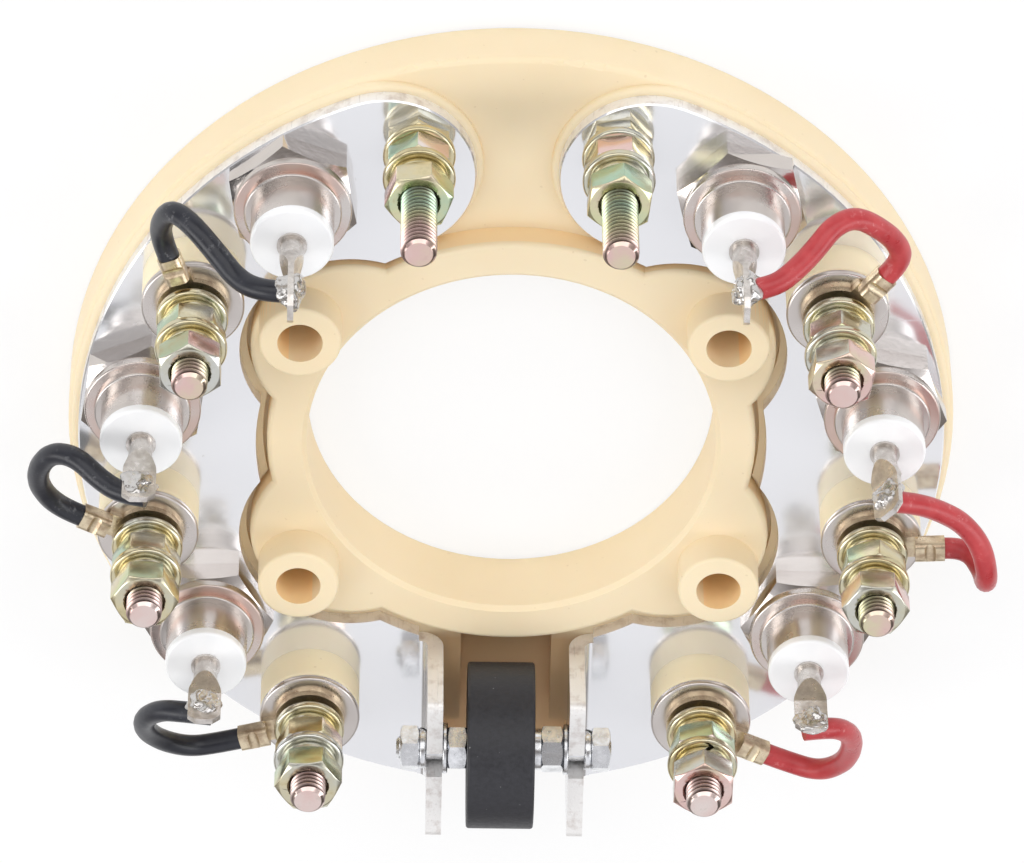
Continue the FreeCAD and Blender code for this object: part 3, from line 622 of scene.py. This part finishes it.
def revolve(name, outline, steps=64, rise=0.0, turns=1, closed=False):
    """Sweep radius and height pairs about Z; with a rise it makes a helix of that pitch."""
    mesh = bpy.data.meshes.new(name)
    edges = [(k, k + 1) for k in range(len(outline) - 1)]
    if closed:
        edges.append((len(outline) - 1, 0))
    mesh.from_pydata([(r, 0, z) for r, z in outline], edges, [])
    obj = bpy.data.objects.new(name, mesh)
    bpy.context.scene.collection.objects.link(obj)
    select_only(obj)
    screw = obj.modifiers.new("screw", "SCREW")
    screw.steps = steps
    screw.render_steps = steps
    screw.screw_offset = rise
    screw.iterations = turns
    screw.use_merge_vertices = True
    screw.merge_threshold = 1e-6
    screw.use_smooth_shade = True
    bpy.ops.object.modifier_apply(modifier="screw")
    bpy.ops.object.mode_set(mode="EDIT")
    bpy.ops.mesh.select_all(action="SELECT")
    bpy.ops.mesh.remove_doubles(threshold=1e-6)
    bpy.ops.mesh.select_all(action="DESELECT")
    bpy.ops.mesh.select_non_manifold(extend=False, use_wire=False, use_multi_face=False,
                                     use_non_contiguous=False, use_verts=False)
    if rise:
        bpy.ops.mesh.edge_face_add()
    bpy.ops.mesh.select_all(action="SELECT")
    bpy.ops.mesh.normals_make_consistent(inside=False)
    bpy.ops.object.mode_set(mode="OBJECT")
    return obj


def combine(target, tool, operation):
    """Apply a boolean with a tool object, which is then removed."""
    select_only(target)
    boolean = target.modifiers.new("cut", "BOOLEAN")
    boolean.operation = operation
    boolean.solver = "EXACT"
    boolean.object = tool
    bpy.ops.object.modifier_apply(modifier="cut")
    bpy.data.objects.remove(tool)

# %% [markdown]
# ## Threads
# A thread is one small tooth swept along a helix. The swept skin is open at both ends, so it is closed
# and then cut to length by its common volume with a plain bolt that has a chamfered tip. A real helix,
# unlike stacked rings, shows its slant where the light runs along it.

# %% Threads
m6_radius = 3.0 * MM
m6_pitch = 1.0 * MM
thread_depth = 0.56 * MM
tip_chamfer = 0.8 * MM


def threaded_rod(name, radius, pitch, depth, bottom, top, chamfer):
    """A rod with a real helical thread over its whole length and a chamfer at its top."""
    root = radius - depth
    tooth = [(root, 0), (root, 0.20 * pitch), (radius, 0.50 * pitch), (radius, 0.59 * pitch),
             (root, 0.88 * pitch), (root, pitch)]
    turns = math.ceil((top - bottom) / pitch) + 3
    rod = revolve(name, tooth, steps=40, rise=pitch, turns=turns)
    groove_from_tip = 1.13 * pitch
    start = bottom - 2 * pitch + (top - bottom - groove_from_tip) % pitch
    rod.data.transform(Matrix.Translation((0, 0, start)))
    plain = revolve("plain_rod", [(0, bottom), (radius * 1.02, bottom), (radius * 1.02, top - chamfer),
                                  (radius * 1.02 - chamfer, top), (0, top)])
    combine(rod, plain, "INTERSECT")
    return rod


print("thread", m6_pitch / MM, "mm pitch")

# %% [markdown]
# ## Copies with a tint
# Each fastener is modelled once and then copied, and no two copies may look alike. Plating takes another
# tint on each flat, so every copy draws a tone for each way that its faces look, from dice with a fixed
# seed, and the yellow zinc reads that tone.

# %% Copies with a tint
dice = random.Random(7)
tip_rise, tip_reach = 0.24, 12 * MM


def place_copy(obj, name, x, y, z=0.0, turn=0.0, tones=None):
    """A copy with its own mesh, turned about Z and moved, its place in its mesh.

    Plating takes another tint on each flat, so each face gets a tone by the way that it faces. A piece of
    one tone, such as a bolt, only grows paler toward its tip.
    """
    copy = bpy.data.objects.new(name, obj.data.copy())
    bpy.context.scene.collection.objects.link(copy)
    low, high = tones or (0.0, 1.0)
    one_tone = tones and low == high
    top = max(vertex.co.z for vertex in obj.data.vertices)
    ways = {}
    tone = copy.data.attributes.new("tone", "FLOAT", "FACE")
    for face in copy.data.polygons:
        flat = math.hypot(face.normal.x, face.normal.y) > 0.99
        way = round(math.degrees(math.atan2(face.normal.y, face.normal.x)) / 60) if flat else "end"
        if one_tone:
            way = "height %d" % (face.center.z / MM)
            ways[way] = low + tip_rise * max(0.0, 1 - (top - face.center.z) / tip_reach)
        share = dice.choice((0.05, 0.20, 0.62, 0.80, 1.0)) if way == "end" else dice.random()
        tone.data[face.index].value = ways.setdefault(way, low + (high - low) * share)
    copy.data.transform(Matrix.Translation((x, y, z)) @ Matrix.Rotation(turn, 4, "Z"))
    return copy


def join(name, pieces):
    select_only(pieces[0])
    for piece in pieces[1:]:
        piece.select_set(True)
    bpy.ops.object.join()
    pieces[0].name = name
    return pieces[0]

# %% [markdown]
# ## Stations
# Diodes and bolts take turns on one circle, at equal steps of angle, mirrored left and right. The output
# bolts stand apart at the top.

# %% Stations
station_radius = 62.9 * MM
first_station = 53.85
station_pitch = 22.3
output_station = 74.9


def station(side, angle):
    a = math.radians(angle)
    return side * station_radius * math.cos(a), station_radius * math.sin(a)


print("stations", first_station, "degrees, then every", station_pitch)

# %% [markdown]
# ## Hexagons
# A hexagon of a bolt or nut is a six-sided cylinder whose corners are turned off by a cone. The common
# volume of the two gives the curved shoulders that catch the light.

# %% Hexagons
across_flats = 10.0 * MM


def hexagon_head(name, width, bottom, height, both_ends=False):
    """A hexagon block with one corner on X, its corners turned off at its lower end or at both."""
    bpy.ops.object.select_all(action="DESELECT")
    reach = width / 2 / math.cos(math.pi / 6)
    bpy.ops.mesh.primitive_cylinder_add(vertices=6, radius=reach, depth=height,
                                        location=(0, 0, bottom + height / 2))
    head = bpy.context.active_object
    bpy.ops.object.transform_apply(location=True, rotation=True, scale=True)
    head.name = name
    head.data.transform(Matrix.Rotation(math.radians(30), 4, "Z"))
    flat = 0.96 * width / 2
    wide = 1.02 * reach
    drop = (wide - flat) * math.tan(math.radians(30))
    top = bottom + height
    upper = [(wide, top - drop), (flat, top), (0, top)] if both_ends else [(wide, top), (0, top)]
    cone = revolve("corner_cone", [(0, bottom), (flat, bottom), (wide, bottom + drop)] + upper)
    combine(head, cone, "INTERSECT")
    return head


print("width over flats", across_flats / MM, "mm")

# %% [markdown]
# ## Bolts
# A bolt is its hexagonal head, a plain shank and the thread, joined into one mesh. Points at the root of
# the thread are marked, and there the zinc is painted near-black, partly for dirt in the groove and
# partly as painted shade. The six phase bolts share one node, and the two output bolts have one each.

# %% Bolts
phase_tip, output_tip = 44.5 * MM, 45.4 * MM


def make_bolt(name, tip):
    head_bottom = 1.0 * MM
    head_height = 4.0 * MM
    head = hexagon_head(name + "_head", across_flats, head_bottom, head_height)
    thread_start = 10.0 * MM
    shank = revolve(name + "_shank", [(0, head_bottom + head_height), (m6_radius, head_bottom + head_height),
                                      (m6_radius, thread_start), (0, thread_start)])
    rod = threaded_rod(name + "_rod", m6_radius, m6_pitch, thread_depth, thread_start, tip, tip_chamfer)
    bolt = join(name, [head, shank, rod])
    # Painted shade and dirt: points at the thread's root are marked, to be painted near-black.
    groove = bolt.data.attributes.new("groove", "FLOAT", "POINT")
    for vertex in bolt.data.vertices:
        radius = math.hypot(vertex.co.x, vertex.co.y)
        inside = thread_start < vertex.co.z < tip - 0.1 * MM and radius < m6_radius - 0.6 * thread_depth
        groove.data[vertex.index].value = 1.0 if inside else 0.0
    select_only(bolt)
    bpy.ops.object.shade_smooth_by_angle(angle=math.radians(28))
    return bolt


phase_stations = [station(side, first_station - station_pitch * step)
                  for side in (-1, 1) for step in (1, 3, 5)]
output_stations = [station(side, output_station) for side in (-1, 1)]
phase_pattern = make_bolt("phase_bolt", phase_tip)
phase = [place_copy(phase_pattern, "phase_bolt_copy", x, y, tones=(tone, tone))
         for (x, y), tone in zip(phase_stations, (0.52, 0.62, 0.60, 0.58, 0.50, 0.60))]
bpy.data.objects.remove(phase_pattern)
finish_piece(join("threaded_phase_bolts", phase), "zinc_yellow", finishes["zinc_yellow"], "phase_bolts")

output_pattern = make_bolt("output_bolt", output_tip)
for (x, y), word in zip(output_stations, ("left", "right")):
    bolt = place_copy(output_pattern, "threaded_output_bolt_" + word, x, y, tones=(0.52, 0.52))
    finish_piece(bolt, "zinc_yellow", finishes["zinc_yellow"], "output_bolt_" + word)
bpy.data.objects.remove(output_pattern)
print("bolts made")

# %% [markdown]
# ## Nuts and washers
# The stacks on the bolts are what the light plays on most, so the nuts have their turned-off corners and
# fine bevels, and the washers their rounded, stamped edges. A spring washer is a ring of near-square
# section, split on a slant. Each kind is modelled once, at the height of the construction.

# %% Nuts and washers
nut_height, thin_height, washer_height, large_height = 5.0 * MM, 3.0 * MM, 1.6 * MM, 1.4 * MM
bolt_bore = 3.05 * MM


def rounded_ring(name, outer, inner, height, edge):
    """A washer with round outer edges and slightly broken inner ones."""
    outline = [(inner, 0.15 * MM), (inner + 0.15 * MM, 0)]
    for middle, start in ((edge, -90), (height - edge, 0)):
        for step in range(7):
            a = math.radians(start + 15 * step)
            outline.append((outer - edge + edge * math.cos(a), middle + edge * math.sin(a)))
    outline += [(inner + 0.15 * MM, height), (inner, height - 0.15 * MM)]
    return revolve(name, outline, steps=72, closed=True)


def fine_bevel(obj, width):
    select_only(obj)
    bevel = obj.modifiers.new("bevel", "BEVEL")
    bevel.width = width
    bevel.segments = 2
    bevel.limit_method = "ANGLE"
    bevel.angle_limit = math.radians(25)
    bpy.ops.object.modifier_apply(modifier="bevel")
    bpy.ops.object.shade_smooth_by_angle(angle=math.radians(32))


def make_nut(name, height):
    """A nut whose corners are turned off at both ends, with a countersunk bore."""
    nut = hexagon_head(name, across_flats, 0, height, both_ends=True)
    sink = 0.5 * MM
    wide = bolt_bore + sink + MM
    bore = revolve("bore", [(0, -MM), (wide, -MM), (bolt_bore, sink), (bolt_bore, height - sink),
                            (wide, height + MM), (0, height + MM)])
    combine(nut, bore, "DIFFERENCE")
    fine_bevel(nut, 0.10 * MM)
    return nut


def make_spring_washer():
    """A washer of near-square section with a slanting split along its X axis."""
    ring = rounded_ring("spring_washer", 4.8 * MM, bolt_bore, washer_height, 0.45 * MM)
    bpy.ops.object.select_all(action="DESELECT")
    slant = math.radians(-38)
    bpy.ops.mesh.primitive_cube_add(size=1, location=(4 * MM, 0, washer_height / 2), rotation=(slant, 0, 0))
    blade = bpy.context.active_object
    blade.scale = (4 * MM, 0.7 * MM, 5 * MM)
    bpy.ops.object.transform_apply(location=True, rotation=True, scale=True)
    combine(ring, blade, "DIFFERENCE")
    return ring


patterns = {
    "nuts": (make_nut("nut", nut_height), nut_height, (0.10, 0.92)),
    "thin_nuts": (make_nut("thin_nut", thin_height), thin_height, (0.10, 0.40)),
    "flat_washers": (rounded_ring("flat_washer", 6.0 * MM, bolt_bore, washer_height, 0.55 * MM),
                     washer_height, None),
    "spring_washers": (make_spring_washer(), washer_height, None),
}

print("kinds", sorted(patterns))

# %% [markdown]
# ## Stacks
# From the ring upwards, each bolt carries its washers and nuts in the order of the photograph. How far a
# nut was turned, and where a spring washer's split ended up, was read off the photograph. A flat washer
# may lie at any turn, so that is drawn by the dice.

# %% Stacks
# Heights in millimetres on which the stacks stand.
terminal_top, plate_top, bush_top = 24.2, 13.1, 20.2
phase_order = ["flat_washers", "spring_washers", "nuts"] * 2
output_order = ["thin_nuts", "flat_washers", "nuts", "flat_washers", "spring_washers", "nuts"]
stacks = [(place, terminal_top, phase_order, turns, splits)
          for place, turns, splits in zip(phase_stations, (
              (51, 32), (57, 57), (7, 5), (30, 20), (22, 58), (14, 30)), (
              (250, 285), (300, 262), (240, 275), (268, 247), (255, 291), (280, 80)))]
for place, turns, splits in zip(output_stations, ((92, 92, 70), (70, 68, 84)), ((270,), (245,))):
    stacks.append((place, plate_top, output_order, turns, splits))
groups = {kind: [] for kind in patterns}
for (x, y), bottom, kinds, turns, splits in stacks:
    height = bottom * MM
    turns, splits = list(turns), list(splits)
    washer_tone = dice.uniform(-0.08, 0.05)
    for kind in kinds:
        pattern, thickness, tones = patterns[kind]
        queue = turns if "nuts" in kind else splits if "spring" in kind else [dice.uniform(0, 360)]
        groups[kind].append(place_copy(pattern, kind, x, y, height, math.radians(queue.pop(0)),
                                       tones or (washer_tone, washer_tone)))
        height += thickness
for kind, pieces in groups.items():
    finish_piece(join("fine_" + kind, pieces), "zinc_yellow", finishes["zinc_yellow"], kind)
    bpy.data.objects.remove(patterns[kind][0])

print("stacks", len(stacks))

# %% [markdown]
# ## Large washers
# A thick nickel washer tops each insulating bush and carries the ring terminal.

# %% Large washers
large = rounded_ring("large_washer", 8.6 * MM, 3.3 * MM, large_height, 0.5 * MM)
larges = [place_copy(large, "large", x, y, bush_top * MM) for x, y in phase_stations]
bpy.data.objects.remove(large)
finish_piece(join("fine_large_washers", larges), slot_of["large_washers"], finishes["nickel"],
             "large_washers")
print("large washers", len(larges))

# %% [markdown]
# ## Solder
# Each lug carries a blob of solder over its hole, drawn out by hand and a little different each time. A
# ball is flattened along the lug's face and pushed about by noise.

# %% Solder
# Each lug: side, steps from the first station, facing in degrees, height and half thickness in millimetres.
lugs = [(-1, 0, 180, 42.2, 2.5), (-1, 2, -90, 40.4, 1.75), (-1, 4, -90, 39.4, 1.75), (1, 0, 0, 40.0, 2.5),
        (1, 2, -45, 41.0, 1.8), (1, 4, -90, 41.6, 1.75)]
half_width, half_height = 2.65, 3.0
blobs = []
for number, (side, step, facing, height, thickness) in enumerate(lugs, 1):
    x, y = station(side, first_station - station_pitch * step)
    bpy.ops.object.select_all(action="DESELECT")
    bpy.ops.mesh.primitive_ico_sphere_add(subdivisions=5, radius=1)
    blob = bpy.context.active_object
    for vertex in blob.data.vertices:
        p = vertex.co + Vector((7 * number, 0, 0))
        swell = 1 + 0.40 * noise.noise(p * 1.3) + 0.13 * noise.noise(p * 3.1) + 0.02 * noise.noise(p * 8.0)
        flattened = (vertex.co.x * thickness, vertex.co.y * half_width, vertex.co.z * half_height)
        vertex.co = Vector(flattened) * swell * MM
    blob.data.transform(Matrix.Translation((x, y, height * MM))
                        @ Matrix.Rotation(math.radians(facing), 4, "Z")
                        @ Matrix.Translation((0.15 * MM, 0, 0.1 * MM)))
    select_only(blob)
    bpy.ops.object.shade_smooth()
    blobs.append(blob)
finish_piece(join("solder", blobs), "tinned_lug", solder_finish)
print("solder blobs", len(lugs))

# %% [markdown]
# ## Floor
# The ring lies on a pale floor. The floor is only white in colour: it is lit as the object is and keeps
# its shadow, and a share of plain white that only the camera and mirrors see lifts it to the photograph's
# background.

# %% Floor


def make_floor():
    bpy.ops.object.select_all(action="DESELECT")
    bpy.ops.mesh.primitive_plane_add(size=6, location=(0, 0, -0.3 * MM))
    floor = bpy.context.active_object
    floor.name = "floor"
    bpy.ops.object.transform_apply(location=True)
    f = Finish("floor_paint")
    path = f.node("ShaderNodeLightPath", output="Is Camera Ray")
    glossy = f.node("ShaderNodeLightPath", output="Is Glossy Ray")
    paint = f.node("ShaderNodeBsdfDiffuse", {}, {"Color": (0.95, 0.95, 0.955)})
    paper = f.node("ShaderNodeEmission", {}, {"Color": (1, 1, 1), "Strength": 1.0})
    f.end_with(f.node("ShaderNodeMixShader", {}, {0: path.greatest(glossy) * 0.68, 1: paint, 2: paper}))
    floor.data.materials.append(f.block)


make_floor()
print("floor made")

# %% [markdown]
# ## Light
# Soft studio light comes from three big lamps, the strongest of them above the picture's top. Wide lamps
# close by give the soft shadows and the broad highlights on the metal, and keep the plastic's colour
# plain.

# %% Light


def softbox(name, place, target, size, power, tint=(1, 1, 1)):
    data = bpy.data.lights.new(name, "AREA")
    data.shape = "RECTANGLE"
    data.size, data.size_y = size
    data.energy = power
    data.color = tint
    lamp = bpy.data.objects.new(name, data)
    bpy.context.scene.collection.objects.link(lamp)
    lamp.location = place
    lamp.rotation_euler = (Vector(place) - Vector(target)).to_track_quat("Z", "Y").to_euler()


softbox("front", (0.0, 1.10, 0.92), (0, 0, 0), (2.2, 1.0), 9.4)
softbox("left", (-1.05, -0.15, 0.75), (0, 0, 0), (0.5, 1.2), 5.5, (1.0, 0.99, 0.97))
softbox("right", (1.05, -0.15, 0.75), (0, 0, 0), (0.5, 1.2), 5.0, (0.97, 0.98, 1.0))

print("lamps", 3)

# %% [markdown]
# ## Surroundings
# The world is a soft white room. Polished metal needs something to mirror, so mirrors see a darker band
# at the horizon and a small dark patch in one fixed direction, where the photographer stood. The object
# is lit by plain white, and the camera sees white.

# %% Surroundings


def make_world():
    world = bpy.data.worlds.new("white_room")
    bpy.context.scene.world = world
    f = Finish("white_room", world)
    way = f.node("ShaderNodeTexCoord", output="Generated")
    height = f.node("ShaderNodeSeparateXYZ", {}, {0: way}, output=2)
    rise = f.node("ShaderNodeValToRGB", {"stops": [
        (0.0, (0.55, 0.52, 0.50)), (0.10, (0.20, 0.18, 0.165)), (0.38, (0.34, 0.32, 0.31)),
        (0.58, (0.90, 0.90, 0.92)), (1.0, (0.93, 0.93, 0.96))]}, {"Fac": height})
    camera_way = f.node("ShaderNodeCombineXYZ", {}, {0: sight.x, 1: sight.y, 2: sight.z})
    toward = f.node("ShaderNodeVectorMath", {"operation": "DOT_PRODUCT"}, {0: way, 1: camera_way},
                    output="Value")
    mirrored = f.blend(f.band(toward, 0.70, 0.97), rise, (0.22, 0.20, 0.19))
    path = f.node("ShaderNodeLightPath", output="Is Camera Ray")
    glossy = f.node("ShaderNodeLightPath", output="Is Glossy Ray")
    lit = f.blend(glossy, (0.64, 0.64, 0.65), mirrored)
    seen = f.blend(path, lit, (1, 1, 1))
    f.end_with(f.node("ShaderNodeBackground", {}, {"Color": seen, "Strength": 1.0}), "ShaderNodeOutputWorld")


make_world()
print("surroundings made")
